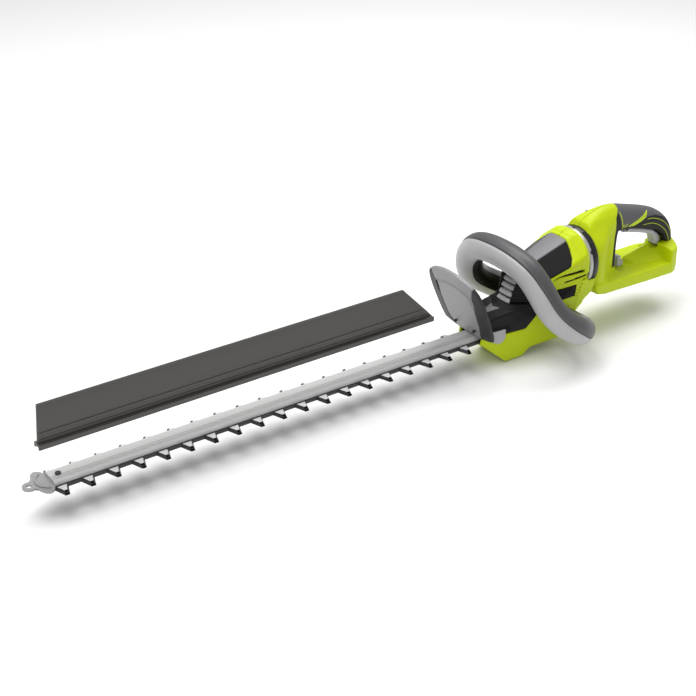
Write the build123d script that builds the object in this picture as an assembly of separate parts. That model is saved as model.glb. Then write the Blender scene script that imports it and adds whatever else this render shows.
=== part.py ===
from build123d import *
import math
import os

# Cordless hedge trimmer with a turning rear handle, a wrap-around front handle and a clip-on debris sweep.
# Millimetres. X runs along the tool with the blade towards -X, +Y is the operator's right, +Z is up.
# The origin is the middle of the flat foot that the tool rests on.

# ---- Driving dimensions ----
PITCH = 33.0  # tooth spacing
TEETH = 19
TIP_X = -670.0  # first tooth
BLADE_HALF = 15.5
TOOTH_REACH = 31.6  # tooth tips from the middle line
BLADE_THICK = 2.0
LOWER_Z = 34.6  # underside of the lower blade
UPPER_Z = 36.9  # underside of the upper blade
BLADE_TAIL_X = 62.0
STROKE = 9.0  # blade travel each way from mid-stroke

RAIL_X = (-678.0, -8.0)
RAIL_Z = (39.2, 46.0)
RAIL_HALF = 13.0

CRANK_X = 30.0
MOTOR_X = 59.0  # one gear centre distance behind the crank
GEAR_MODULE = 1.0
GEAR_TEETH = 45
PINION_TEETH = 13
PRESSURE_ANGLE = math.radians(25)
GEAR_Z = (58.0, 66.0)
CRANK_THROW = 9.0

MOTOR_R = 22.0
MOTOR_Z = (80.0, 118.0)

SWIVEL_Z = 113.9  # the rear handle's turning axis, along X
SWIVEL_R = 45.9
COLLAR_X = (123.0, 129.0)
KNURL_X = (129.3, 140.0)
SLEEVE_R = 34.0

WALL = 2.6
SPLIT = 0.0  # the plane where left and right mouldings meet

GUARD_FOOT = (-56.0, 0.0, 59.6)
GUARD_LEAN = 22.0
GUARD_THICK = 3.2

BAIL_WIDE = 20.0  # half sizes of the front handle's oval section
BAIL_DEEP = 19.0
BAIL_WALL = 2.6

SWEEP_X = (-689.0, -121.0)
SWEEP_Z = (88.0, 144.5)
SWEEP_THICK = 2.4

FULL = 400.0  # larger than the tool's width and height

os.makedirs("parts", exist_ok=True)


# ---- Small helpers ----
def block(x0, x1, y0, y1, z0, z1):
    return Pos((x0 + x1) / 2, (y0 + y1) / 2, (z0 + z1) / 2) * Box(x1 - x0, y1 - y0, z1 - z0)


def rod_z(x, y, z0, z1, r):
    return Pos(x, y, (z0 + z1) / 2) * Cylinder(r, z1 - z0)


def rod_x(x0, x1, y, z, r):
    return Pos((x0 + x1) / 2, y, z) * Rot(0, 90, 0) * Cylinder(r, x1 - x0)


def rod_y(x, z, y0, y1, r):
    return Pos(x, (y0 + y1) / 2, z) * Rot(90, 0, 0) * Cylinder(r, y1 - y0)


def tube_z(x, y, z0, z1, outer, inner):
    return rod_z(x, y, z0, z1, outer) - rod_z(x, y, z0 - 1, z1 + 1, inner)


def tube_x(x0, x1, y, z, outer, inner):
    return rod_x(x0, x1, y, z, outer) - rod_x(x0 - 1, x1 + 1, y, z, inner)


def outline(points):
    """A flat face from its corners, facing up whichever way round they are given."""
    turned = sum(a[0] * b[1] - b[0] * a[1] for a, b in zip(points, points[1:] + points[:1]))
    return Polygon(*(points if turned > 0 else points[::-1]), align=None)


def side(points, half):
    """A plate whose outline is given in X and Z, as wide as half each side of the middle."""
    return extrude(Plane.XZ * outline(points), amount=half, both=True)


def plan(points, z0, z1):
    """A plate whose outline is given in X and Y."""
    return extrude(Pos(0, 0, z0) * outline(points), amount=z1 - z0, dir=(0, 0, 1))


def both_sides(points):
    """Closes a half outline of (along, aside) points with its mirror image."""
    return points + [(a, -b) for a, b in reversed(points)]


def cut_side(solid, y_sign):
    """The part of a solid on one side of the middle plane."""
    low, high = (SPLIT, FULL) if y_sign > 0 else (-FULL, SPLIT)
    return solid & block(-900, 500, low, high, -FULL, FULL)


def save(name, *solids):
    pieces = [s for shape in solids for s in shape.solids()]
    shape = pieces[0] if len(pieces) == 1 else Compound(pieces)
    shape.label = name
    export_step(shape, f"parts/{name}.step")


# ---- Cutting blades ----
def tooth_places():
    return [TIP_X + i * PITCH for i in range(TEETH)]


def tooth(x, reach, base, tip, side_sign):
    root = (BLADE_HALF - 1.0) * side_sign
    end = reach * side_sign
    return outline([(x - base / 2, root), (x + base / 2, root), (x + tip / 2, end), (x - tip / 2, end)])


def blade(z, reach, base, tip, round_end):
    body = outline(both_sides([(TIP_X - 10, 9.0), (TIP_X - 6, BLADE_HALF), (-20, BLADE_HALF), (-4, 20),
                               (BLADE_TAIL_X, 20)]))
    for x in tooth_places():
        for side_sign in (1, -1):
            body += tooth(x, reach, base, tip, side_sign)
            if round_end:
                body += Pos(x, (reach - tip / 4) * side_sign) * Circle(tip / 2)
    # The window clears the crank pins all the way round and over the whole stroke.
    body -= Pos(CRANK_X, 0) * Rectangle(50, 31)
    for x in bolt_places():
        body -= Pos(x, 0) * SlotOverall(2 * STROKE + 6.6, 5.8)
    return extrude(Pos(0, 0, z) * body, amount=BLADE_THICK, dir=(0, 0, 1))


def bolt_places():
    return [-640.0, -530.0, -420.0, -310.0, -200.0, -92.0]


upper_blade = blade(UPPER_Z, TOOTH_REACH - 3.0, 15.0, 5.0, False)
lower_blade = blade(LOWER_Z, TOOTH_REACH - 1.5, 17.0, 6.0, True)
save("upper_blade", upper_blade)
save("lower_blade", lower_blade)

# ---- Guide rail, its bolts and the tip protector ----
rail_face = outline([(-RAIL_HALF, RAIL_Z[0]), (RAIL_HALF, RAIL_Z[0]), (RAIL_HALF, RAIL_Z[1] - 2.5),
                     (RAIL_HALF - 1.6, RAIL_Z[1]), (-RAIL_HALF + 2.5, RAIL_Z[1]),
                     (-RAIL_HALF, RAIL_Z[1] - 2.5)])
for y in (-9.0, -6.2, -3.0):
    rail_face -= Pos(y, RAIL_Z[1]) * Rectangle(0.9, 2.0)
rail_face -= Pos(0, RAIL_Z[0]) * Rectangle(12.4, 6.0)
rail = extrude(Plane.YZ.offset(RAIL_X[0]) * rail_face, amount=RAIL_X[1] - RAIL_X[0], dir=(1, 0, 0))
bolt_shanks = [rod_z(x, 0, LOWER_Z - 0.4, RAIL_Z[1] - 1.2, 2.5) for x in bolt_places()]
bolt_heads = [rod_z(x, 0, LOWER_Z - 3.4, LOWER_Z - 0.4, 5.0) for x in bolt_places()]
bolt_collars = [rod_z(x, 0, UPPER_Z + BLADE_THICK + 0.3, RAIL_Z[0] + 3.0, 5.0) for x in bolt_places()]
TIP_SCREW_X = -667.0
for shape in bolt_shanks:
    rail -= shape
rail -= rod_z(TIP_SCREW_X, 0, RAIL_Z[0], RAIL_Z[1] + 1, 2.0)
save("blade_guide_rail", rail)
save("blade_bolts", *[s + h + c for s, h, c in zip(bolt_shanks, bolt_heads, bolt_collars)])

TIP_PLATE_Z = (39.6, 43.4)
HANG_HOLE_X = -704.0
HANG_HOLE_R = 3.2
tip_outline = (Pos(-703, 0) * Circle(9.0)
               + Pos(-687, 0) * Ellipse(11.0, 25.0)
               + Pos(-689, 0) * Rectangle(20, 22)
               + Pos(-669, 0) * Rectangle(22, 12))
tip_outline -= Pos(HANG_HOLE_X, 0) * Circle(HANG_HOLE_R)
tip_plate = extrude(Pos(0, 0, TIP_PLATE_Z[0]) * tip_outline, amount=2.4, dir=(0, 0, 1))
tip_plate -= block(RAIL_X[0] - 0.4, -640, 6.0, 40, 30, 60) + block(RAIL_X[0] - 0.4, -640, -40, -6.0, 30, 60)
tip_rib = (tube_z(-676, 0, TIP_PLATE_Z[0] + 1.0, TIP_PLATE_Z[1], 20.0, 17.5)
           & block(-697, -684, -18, 18, 30, 60))
tip_plate = tip_plate + tip_rib - rod_z(TIP_SCREW_X, 0, 30, 60, 2.0)
save("tip_protector", tip_plate)
save("tip_screw", rod_z(TIP_SCREW_X, 0, TIP_PLATE_Z[0], RAIL_Z[1], 2.0)
     + rod_z(TIP_SCREW_X, 0, RAIL_Z[1], RAIL_Z[1] + 1.8, 3.6))


# ---- Gears ----
def involute(angle):
    return math.tan(angle) - angle


def spur_outline(teeth, phase):
    """A spur gear's outline with a small backlash, from its module and pressure angle."""
    pitch_r = GEAR_MODULE * teeth / 2
    base_r = pitch_r * math.cos(PRESSURE_ANGLE)
    root_r = pitch_r - 1.25 * GEAR_MODULE
    tip_r = pitch_r + 0.9 * GEAR_MODULE
    half = math.pi / (2 * teeth) - 0.06 / pitch_r
    start_r = max(base_r, root_r)
    flank = []
    for k in range(5):
        r = start_r + (tip_r - start_r) * k / 4
        flank.append((r, half + involute(PRESSURE_ANGLE) - involute(math.acos(min(1.0, base_r / r)))))
    if root_r < start_r:
        flank.insert(0, (root_r, flank[0][1]))
    points = []
    for i in range(teeth):
        middle = phase + 2 * math.pi * i / teeth
        points += [(r * math.cos(middle - a), r * math.sin(middle - a)) for r, a in flank]
        points += [(r * math.cos(middle + a), r * math.sin(middle + a)) for r, a in reversed(flank)]
    return outline(points)


def spur(x, teeth, phase, bore):
    face = spur_outline(teeth, phase) - Circle(bore)
    return Pos(x, 0, GEAR_Z[0]) * extrude(face, amount=GEAR_Z[1] - GEAR_Z[0], dir=(0, 0, 1))


SHAFT_R = 5.0
crank_gear = spur(CRANK_X, GEAR_TEETH, 0.0, SHAFT_R)
crank_gear -= tube_z(CRANK_X, 0, GEAR_Z[1] - 2.5, GEAR_Z[1] + 1, 18.5, 9.0)
for k in range(6):
    turn = math.radians(60 * k + 30)
    crank_gear -= rod_z(CRANK_X + 13.8 * math.cos(turn), 13.8 * math.sin(turn), 50, 70, 3.2)
save("crank_gear", crank_gear)
# One throw drives each blade, half a turn apart.
crank_shaft = rod_z(CRANK_X, 0, 45.6, 75.5, SHAFT_R) + rod_z(CRANK_X, 0, 41.6, 45.6, 15.0)
crank_shaft += rod_z(CRANK_X, CRANK_THROW, LOWER_Z + 2.6, 42.0, 4.0)
crank_shaft += rod_z(CRANK_X, -CRANK_THROW, LOWER_Z, 42.0, 4.0)
save("crank_shaft", crank_shaft)

# ---- Gear case ----
BEARING_R = 13.0
case_outline = both_sides([(2.0, 16.0), (12.0, 27.0), (48.0, 27.0), (72.0, 15.0)])
case_base = plan(case_outline, 46.6, 57.0)
case_base -= rod_z(CRANK_X, 0, 48.6, 58, BEARING_R) + rod_z(CRANK_X, 0, 40, 60, 8.0)
case_cover = plan(case_outline, 57.0, 76.4)
case_cover -= rod_z(CRANK_X, 0, 56, GEAR_Z[1] + 1, GEAR_MODULE * GEAR_TEETH / 2 + 2.2)
case_cover -= rod_z(MOTOR_X, 0, 56, GEAR_Z[1] + 1, 9.2) + rod_z(MOTOR_X, 0, 60, 80, 8.0)
case_cover -= rod_z(CRANK_X, 0, GEAR_Z[1], 75.5, BEARING_R)
case_screw_places = [(9.5, 17.5), (9.5, -17.5), (60.5, 14.5), (60.5, -14.5)]
case_screws = []
for x, y in case_screw_places:
    screw = rod_z(x, y, 50, 76.4, 1.5) + rod_z(x, y, 76.4, 77.6, 2.8)
    case_screws.append(screw)
    case_base -= screw
    case_cover -= screw
save("gear_case_base", case_base)
save("gear_case_cover", case_cover)
save("gear_case_screws", *case_screws)
save("crank_bearings", tube_z(CRANK_X, 0, 48.8, 56.8, BEARING_R, SHAFT_R + 0.02),
     tube_z(CRANK_X, 0, 67.2, 75.2, BEARING_R, SHAFT_R + 0.02))

# ---- Motor ----
low, high = MOTOR_Z
motor_can = tube_z(MOTOR_X, 0, low, high - 6, MOTOR_R, MOTOR_R - 1.4)
motor_can += tube_z(MOTOR_X, 0, low, low + 1.6, MOTOR_R, 5.5)
save("motor_can", motor_can)
magnet_ring = tube_z(MOTOR_X, 0, low + 12, high - 16, MOTOR_R - 1.4, MOTOR_R - 5.0)
magnets = [magnet_ring & block(MOTOR_X - 30, MOTOR_X + 30, 6, 30, 0, 200),
           magnet_ring & block(MOTOR_X - 30, MOTOR_X + 30, -30, -6, 0, 200)]
save("motor_magnets", *magnets)
end_cap = rod_z(MOTOR_X, 0, high - 6, high, MOTOR_R) - rod_z(MOTOR_X, 0, high - 7, high - 2, MOTOR_R - 3)
end_cap += tube_z(MOTOR_X, 0, high - 5, high, 8.0, 5.5)
end_cap -= rod_z(MOTOR_X, 0, high - 8, high + 1, 5.5)
save("motor_end_cap", end_cap)
save("motor_bearings", tube_z(MOTOR_X, 0, low, low + 5, 5.5, 2.52), tube_z(MOTOR_X, 0, high - 5, high, 5.5, 2.52))
brushes = [block(MOTOR_X + s * 10 - 3, MOTOR_X + s * 10 + 3, -2.5, 2.5, high - 13, high - 9) for s in (-1, 1)]
save("motor_brushes", *[b - rod_z(MOTOR_X, 0, 100, 180, 7.2) for b in brushes])

motor_shaft = rod_z(MOTOR_X, 0, 57.6, high + 1, 2.5)
rotor_core = rod_z(MOTOR_X, 0, low + 12, high - 16, MOTOR_R - 5.6) - motor_shaft
for k in range(12):
    rotor_core -= Pos(MOTOR_X, 0, 110) * Rot(0, 0, 30 * k) * Pos(14.6, 0, 0) * Box(6, 1.8, 90)
save("rotor_core", rotor_core)
save("commutator", tube_z(MOTOR_X, 0, high - 15, high - 7, 7.0, 2.5))
save("motor_shaft", motor_shaft)
pinion = spur(MOTOR_X, PINION_TEETH, math.pi + math.pi / PINION_TEETH, 2.5)
save("pinion_gear", pinion)
fan = tube_z(MOTOR_X, 0, low + 6.4, low + 7.6, 15.0, 2.5)
fan += tube_z(MOTOR_X, 0, low + 6.4, low + 10.6, 5.0, 2.5)
for k in range(9):
    fan += Pos(MOTOR_X, 0, low + 9) * Rot(0, 0, 40 * k) * Pos(9.8, 0, 0) * Box(9.8, 1.0, 3.2)
save("cooling_fan", fan)

# ---- Motor housing: one outer form, from its side, plan and front outlines ----
HOUSING_SIDE = [(-46, 47), (-50, 46.4), (-52, 38), (-8, 0), (22, 0), (34, 10), (88, 10), (113, 50),
                (123, 60), (123, 160), (112, 159), (51, 136.5), (20, 122), (2, 80.5), (-5, 80),
                (-34, 75.5), (-52.5, 71)]
SHOULDER_POINT = (51.0, 13.5, 134.5)  # a point on the plane between the housing's top and its flank
SHOULDER_NORMAL = (-0.315, 0.5955, 0.739)
LIP = [(112, 60), (123, 60), (137, 75), (137, 97), (112, 97)]  # shrouds the lower part of the collar
LIP_BORE = 46.6
NOSE_PLAN = [(-60, 15), (8, 15), (44, 38.5)]  # the housing narrows to the louvres above the gear cover
NOSE_Z = 81.0
HOUSING_PLAN = both_sides([(-70, 24), (-10, 31), (20, 34.5), (60, 40), (104, 45.9), (124, 45.9)])
HOUSING_FRONT = [(30, 167), (45.9, 135), (45.9, 104), (43, 84), (37, 62), (33, 36), (29, 0)]


def front_extrusion(half_outline, grow, x0, x1):
    face = outline(half_outline + [(-y, z) for y, z in reversed(half_outline)])
    if grow:
        face = offset(face, amount=-grow)
    return extrude(Plane.YZ.offset(x0) * face, amount=x1 - x0, dir=(1, 0, 0))


def housing_form(grow):
    side_face = outline(HOUSING_SIDE)
    plan_face = outline(HOUSING_PLAN)
    if grow:
        side_face = offset(side_face, amount=-grow, kind=Kind.INTERSECTION)
        plan_face = offset(plan_face, amount=-grow, kind=Kind.INTERSECTION)
    form = extrude(Plane.XZ * side_face, amount=60, both=True)
    form &= extrude(plan_face, amount=200, dir=(0, 0, 1))
    shoulders = [(a, b - grow) for a, b in NOSE_PLAN] + [(44, 80), (-60, 80)]
    for mirrored in (shoulders, [(a, -b) for a, b in shoulders]):
        form -= plan(mirrored, NOSE_Z - grow, 200)
    for y_sign in (1, -1):
        x, y, z = SHOULDER_POINT
        nx, ny, nz = SHOULDER_NORMAL
        shoulder = Plane(origin=(x, y_sign * y, z), z_dir=(nx, y_sign * ny, nz))
        form -= shoulder * Pos(0, 0, FULL / 2 - grow) * Box(FULL, FULL, FULL)
    barrel = rod_x(-100, 118, 0, SWIVEL_Z, 60) + rod_x(117, 124, 0, SWIVEL_Z, SWIVEL_R + 1 - grow)
    barrel += block(-100, 124, -60, 60, -1, SWIVEL_Z - 10)
    return form & front_extrusion(HOUSING_FRONT, grow, -100, 200) & barrel


housing = housing_form(0)
housing_room = housing_form(WALL)
GEAR_COVER_REGION = [(-90, 46.4), (20, 46.4), (40, 66), (36, 81), (-90, 81)]
NOSE_REGION = [(-40, 81), (36, 81), (40, 112), (-40, 119)]
TOP_REGION = [(-40, 119), (40, 112), (52, 112.5), (88, 124), (95, 133), (99, 143), (101, 153), (101, 200),
              (-40, 200)]
gear_region = side(GEAR_COVER_REGION, 60)
nose_region = side(NOSE_REGION, 60)
top_region = side(TOP_REGION, 60)

LOUVRE_Z = (84.0, 92.5, 101.0, 109.5)

# The tunnel takes the rail and the blades through the front of the mouldings.
tunnel = block(-80, BLADE_TAIL_X + STROKE + 6, -21.5, 21.5, LOWER_Z - 4.2, 46.5)
tooth_slot = block(-90, -40, -TOOTH_REACH - 3, TOOTH_REACH + 3, LOWER_Z - 1.5, 41.0)
shell = housing - housing_room
gear_cover = (housing & gear_region) - housing_room - tunnel - tooth_slot

nose = (housing & nose_region) - housing_room
for z in LOUVRE_Z:
    front = 2 + 0.434 * (z - NOSE_Z)
    nose -= side([(front - 9, z), (front + 1.5, z), (front + 2.8, z + 3), (front - 9, z + 3)], 13)

top_cover = (housing & top_region) - housing_room
green = shell - gear_region - nose_region - top_region - tunnel - tooth_slot

# Side vents and the recess for the blank badge plate.
VENTS = [(62, 112, 112), (80, 122, 103)]
for x0, x1, z in VENTS:
    vent = side([(x0, z - 1.6), (x1, z - 0.2), (x1, z + 2.6), (x0 + 6, z + 1.6)], 60)
    vent -= block(0, 200, -36, 36, 0, 200)
    green -= vent
for x, z in ((108, 78), (100, 70), (84, 60)):
    slot = side([(x, z), (x + 9, z + 0.6), (x + 9, z + 2.2), (x, z + 1.4)], 60)
    green -= slot - block(0, 200, -30, 30, 0, 200)

badge = side([(63, 76), (101, 77), (100, 95), (62, 94)], 60) & (housing_form(0) - housing_form(1.2))
badge_left = badge & block(0, 200, -60, 0, 0, 200)
green -= badge

# Bosses for the long screws that draw the two halves together, put in from the right.
HOUSING_SCREWS = [(-30, 27), (8, 12), (84, 22), (98, 60), (112, 146), (104, 100)]
HOUSING_SCREW_HEAD_Y = [20.0, 22.0, 25.0, 28.0, 22.0, 30.0]
front_screws = []
for (x, z), head_y in zip(HOUSING_SCREWS, HOUSING_SCREW_HEAD_Y):
    boss = rod_y(x, z, -60, 60, 4.6) & housing
    recess = rod_y(x, z, head_y - 0.01, 60, 3.7)
    screw = rod_y(x, z, -head_y + 4, head_y, 2.0) + rod_y(x, z, head_y, head_y + 2.4, 3.6)
    green = green + boss - recess - screw
    front_screws.append(screw)

sleeve = tube_x(118, 152, 0, SWIVEL_Z, SLEEVE_R, SLEEVE_R - 4)
sleeve += tube_x(118, 122.9, 0, SWIVEL_Z, SLEEVE_R + 5.5, 29)
sleeve += tube_x(146, 151, 0, SWIVEL_Z, SLEEVE_R + 3, 8)
DETENT_R = 24.0
for k in range(5):
    turn = math.radians(-180 + 45 * k)
    sleeve -= rod_x(140, 160, DETENT_R * math.cos(turn), SWIVEL_Z + DETENT_R * math.sin(turn), 3.0)
lip = side(LIP, 60) & plan(HOUSING_PLAN[:5] + [(140, 45.9), (140, -45.9)] + HOUSING_PLAN[-5:], 0, 200)
lip = (lip & front_extrusion(HOUSING_FRONT, 0, -100, 200)) - rod_x(100, 160, 0, SWIVEL_Z, LIP_BORE)
green += lip
sleeve_seat = rod_x(117.9, 123, 0, SWIVEL_Z, SLEEVE_R + 5.5)
green -= sleeve_seat
top_cover -= sleeve_seat
save("swivel_sleeve", sleeve)
save("swivel_collar", tube_x(*COLLAR_X, 0, SWIVEL_Z, SWIVEL_R, SLEEVE_R + 0.05))
save("left_motor_housing", cut_side(green, -1))
save("right_motor_housing", cut_side(green, 1))
save("nose_louvres", nose)
save("top_cover", top_cover)
save("badge_plate", badge_left)
save("motor_housing_screws", *front_screws)

# ---- Front guard, standing across the blade and leaning forward ----
guard_plane = Plane(origin=GUARD_FOOT, x_dir=(0, 1, 0),
                    z_dir=(math.cos(math.radians(GUARD_LEAN)), 0, math.sin(math.radians(GUARD_LEAN))))
GUARD_HALF = 56.0
GUARD_HEIGHT = 87.0
GUARD_CROWN = 9.5


def guard_face(inset):
    half, top = GUARD_HALF - inset, GUARD_HEIGHT - inset
    crown = ThreePointArc((half - 14, top), (0, top + GUARD_CROWN), (-half + 14, top))
    left = Spline((-half + 14, top), (-half + 2.5, top - 18), (-half, 44), (-half + 5.5, -6 + inset))
    foot = Polyline((-half + 5.5, -6 + inset), (0, -13.5 + inset), (half - 5.5, -6 + inset))
    right = Spline((half - 5.5, -6 + inset), (half, 44), (half - 2.5, top - 18), (half - 14, top))
    return make_face([crown, left, foot, right])


guard = extrude(guard_plane * guard_face(0), amount=GUARD_THICK / 2, both=True)
rim = extrude(guard_plane * (guard_face(0) - guard_face(9)), amount=GUARD_THICK / 2 + 2.6, both=True)
guard = guard + rim - tunnel - block(-90, -40, -RAIL_HALF - 0.5, RAIL_HALF + 0.5, 30, 46.6) - housing
GUARD_SCREWS = [(-57.5, 20.0, 62.0), (-57.5, -20.0, 62.0)]
guard_screws = []
guard_axis = guard_plane.z_dir
for x, y, z in GUARD_SCREWS:
    along = Plane(origin=(x, y, z), z_dir=guard_axis)
    screw = along * Cylinder(2.0, 14.0) + along.offset(-0.5) * Cylinder(3.8, 2.4)
    guard_screws.append(screw)
    guard -= screw
    gear_cover -= screw
save("front_guard", guard)
save("guard_screws", *guard_screws)
save("gear_cover", gear_cover)
lug_face = outline([(-37, 52), (-15, 52), (-15, 42), (-19, 36.5), (-26, 34.5), (-33, 37), (-37, 42)])
lugs = []
for y_sign in (1, -1):
    lug = extrude(Plane.XZ * lug_face, amount=60, both=True)
    lug &= block(-90, 0, 0, 60, 0, 100) if y_sign > 0 else block(-90, 0, -60, 0, 0, 100)
    wide = plan(both_sides([(-70, 26.5), (-10, 33.5), (20, 37)]), 0, 100)
    lugs.append((lug & wide) - housing)
save("guard_lugs", *lugs)

# ---- Front handle: an oval tube that wraps round the housing, in a front and a rear moulding ----
BAIL_ROUTE = [(-3, 0, 154.5), (-3, 35, 152), (0, 58, 142.5), (5, 76, 122), (13, 85, 101), (24, 92.5, 84.5),
              (42, 98, 69), (60, 97, 57.5), (76, 87, 49), (87, 66, 42), (91, 36, 38)]


def arc_radii(route):
    """Bend radii as large as each pair of runs allows."""
    points = [Vector(*p) for p in route]
    radii = []
    for a, b, c in zip(points, points[1:], points[2:]):
        turn = math.radians((b - a).get_angle(c - b))
        shorter = min((b - a).length, (c - b).length)
        radii.append(0.45 * shorter / math.tan(turn / 2))
    return radii


bail_path = FilletPolyline(*BAIL_ROUTE, radius=arc_radii(BAIL_ROUTE))
bail_start = Plane(origin=BAIL_ROUTE[0], x_dir=(1, 0, 0), z_dir=(0, 1, 0))
oval = Ellipse(BAIL_WIDE, BAIL_DEEP)
oval_room = Ellipse(BAIL_WIDE - BAIL_WALL, BAIL_DEEP - BAIL_WALL)
front_half = Pos(-33, 0) * Rectangle(60, 60)
half_bail = []
for half_face in ((oval - oval_room) & front_half, (oval - oval_room) - front_half):
    swept = sweep(bail_start * half_face, path=bail_path)
    half_bail.append(swept - housing)
bail_front = half_bail[0] + mirror(half_bail[0], Plane.XZ)
bail_rear = half_bail[1] + mirror(half_bail[1], Plane.XZ)

# The switch bar lies in the underside of the rear moulding at the top of the loop.
BAR_HALF = 30.0
bar_slot = block(-1.5, 8.5, -BAR_HALF, BAR_HALF, 124, 144.8)
bail_rear -= bar_slot
switch_bar = block(-0.8, 7.8, -BAR_HALF + 0.7, BAR_HALF - 0.7, 131.6, 141.0)
bail_front -= bar_slot
micro_switch = block(-9, 3, -10, 10, 147.0, 158.0)
save("bail_front_shell", bail_front)
save("bail_rear_shell", bail_rear)
save("front_switch_bar", switch_bar)
save("front_microswitch", micro_switch)

# ---- Debris sweep, drawn just lifted off the guide rail ----
sweep_outline = [(SWEEP_X[0] + 1, SWEEP_Z[0] + 6), (SWEEP_X[0] + 5, SWEEP_Z[1]),
                 (SWEEP_X[1] - 48, SWEEP_Z[1]), (SWEEP_X[1] - 8, SWEEP_Z[0] + 15),
                 (SWEEP_X[1], SWEEP_Z[0] + 6)]
sweep_plate = side(sweep_outline, SWEEP_THICK / 2)
for z, x_end in ((SWEEP_Z[1] - 1.5, -168), (SWEEP_Z[0] + 18, -135), (SWEEP_Z[0] + 9.5, -126)):
    sweep_plate += block(SWEEP_X[0] + 5, x_end - 4, -SWEEP_THICK / 2 - 1.0, 0, z - 1.2, z + 1.2)
save("sweep_plate", sweep_plate)
clip_face = outline([(-7, SWEEP_Z[0] + 6), (-7, SWEEP_Z[0]), (-4.6, SWEEP_Z[0]), (-4.6, SWEEP_Z[0] + 3.4),
                     (4.6, SWEEP_Z[0] + 3.4), (4.6, SWEEP_Z[0]), (7, SWEEP_Z[0]), (7, SWEEP_Z[0] + 6)])
clip = extrude(Plane.YZ.offset(SWEEP_X[0]) * clip_face, amount=SWEEP_X[1] - SWEEP_X[0], dir=(1, 0, 0))
save("sweep_clip", clip)

# ---- Rear handle: neck, grip and battery base as one outer form ----
BASE_Z = 57.0
DECK_Z = 77.0
REAR_END = 328.0
REAR_TOP = [(140, 163), (146, 167.5), (157, 172.6), (172, 176.8), (186, 179.4), (198, 178.6), (215, 174),
            (231, 169.5), (250, 164.6), (272, 157.6), (289, 149.4), (304, 139), (314, 127.6),
            (320.5, 114), (323, 99.5), (REAR_END, 98.4), (REAR_END, 82)]
REAR_BOTTOM = [(REAR_END, 64), (320, BASE_Z), (250, 58), (165, 60.5), (150, 65), (140, 75)]
HAND_HOLE = [(203, DECK_Z), (201.5, 88), (200.4, 104), (200.4, 120), (202, 133), (205, 139.6), (212, 140),
             (228, 137.6), (258, 130), (284, 121), (297, 111), (303, 96.5), (291, 95.5), (243, 87),
             (239, DECK_Z)]
NECK_PLAN = both_sides([(139, 44.9), (158, 38), (180, 25), (200, 17.5), (318, 16.5), (REAR_END, 12)])
BASE_PLAN = both_sides([(139, 40), (299, 40), (308, 37), (314, 32), (321, 22), (REAR_END, 7)])
ROOF_FRONT = [(4, 97), (10, 93), (26, DECK_Z), (26, 60)]  # half section of the block behind the hand hole
POST_X = 292.0  # the post under the rear end of the grip
POST_FRONT = [(14, 98.4), (28, 97), (34, 88), (39, DECK_Z), (40, 50)]
NECK_FRONT = [(4, 180), (10, 175.5), (16, 167.5), (21, 159), (27, 150), (34.5, 140), (41, 130), (44.9, 119),
              (44.9, 100), (42, DECK_Z), (40, 50)]


def shrink(face, grow):
    return offset(face, amount=-grow, kind=Kind.INTERSECTION) if grow else face


def rear_form(grow):
    side_face = shrink(outline(REAR_TOP + REAR_BOTTOM), grow)
    form = extrude(Plane.XZ * side_face, amount=60, both=True)
    neck = extrude(shrink(outline(NECK_PLAN), grow), amount=200, dir=(0, 0, 1))
    base = extrude(shrink(outline(BASE_PLAN), grow), amount=DECK_Z - grow, dir=(0, 0, 1))
    footing = extrude(shrink(outline(BASE_PLAN), grow), amount=200, dir=(0, 0, 1))
    roof = front_extrusion(ROOF_FRONT, grow, 236 + grow, REAR_END) & footing
    post = front_extrusion(POST_FRONT, grow, POST_X + grow, REAR_END) & footing
    form &= neck + base + roof + post
    form &= front_extrusion(NECK_FRONT, grow, 100, 400)
    hole = offset(outline(HAND_HOLE), amount=grow, kind=Kind.INTERSECTION) if grow else outline(HAND_HOLE)
    return form - extrude(Plane.XZ * hole, amount=60, both=True)


rear = rear_form(0)
rear_room = rear_form(4.0)
OVERMOULD = 1.8
GRIP_REGION = [(206, 190), (204, 172), (195, 162), (191, 134), (190, 104), (190, 88), (218, 86),
               (222, 99), (340, 99), (340, 190)]
grip_skin = (rear - rear_form(OVERMOULD)) & side(GRIP_REGION, 60)
rear_shell = rear - rear_room - grip_skin

bay_box = (232, 292, -24, 24, 40, 73)
rear_shell += block(229.4, 294.6, -26.6, 26.6, BASE_Z, 75.6) & rear
rear_shell -= block(*bay_box)
rear_shell += tube_x(140, 145.6, 0, SWIVEL_Z, 44, SLEEVE_R + 0.06) & rear
rear_shell -= rod_x(130, 140.2, 0, SWIVEL_Z, SLEEVE_R + 0.06)
rear_shell -= rod_x(139, 152, 0, SWIVEL_Z, SLEEVE_R + 0.06)
rear_shell -= rod_x(145.6, 152, 0, SWIVEL_Z, SLEEVE_R + 4)

# Trigger: a paddle along the underside of the grip, hinged at its front end.
TRIGGER_HALF = 8.0
TRIGGER_PIVOT = (226.5, 133.6)
trigger_outline = [(223.2, 131), (257, 122.5), (278, 115), (284, 109), (287.5, 97.5), (295, 93),
                   (300, 98.2), (295.2, 109.8), (283, 119.8), (257.4, 129.4), (226, 136.4)]
trigger = side(trigger_outline, TRIGGER_HALF) + rod_y(*TRIGGER_PIVOT, -TRIGGER_HALF, TRIGGER_HALF, 3.6)
trigger -= rod_y(*TRIGGER_PIVOT, -20, 20, 1.55)
trigger_slot = side([(221, 130), (258, 122), (280, 112), (284, 91), (309, 91), (307, 108), (303, 120),
                     (288, 132), (258, 138), (224, 141)], TRIGGER_HALF + 0.8)
trigger_slot += rod_y(*TRIGGER_PIVOT, -TRIGGER_HALF - 0.8, TRIGGER_HALF + 0.8, 4.6)
trigger_pin = rod_y(*TRIGGER_PIVOT, -13, 13, 1.5)
pivot_ears = rod_y(*TRIGGER_PIVOT, -13, 13, 4.2)
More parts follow.
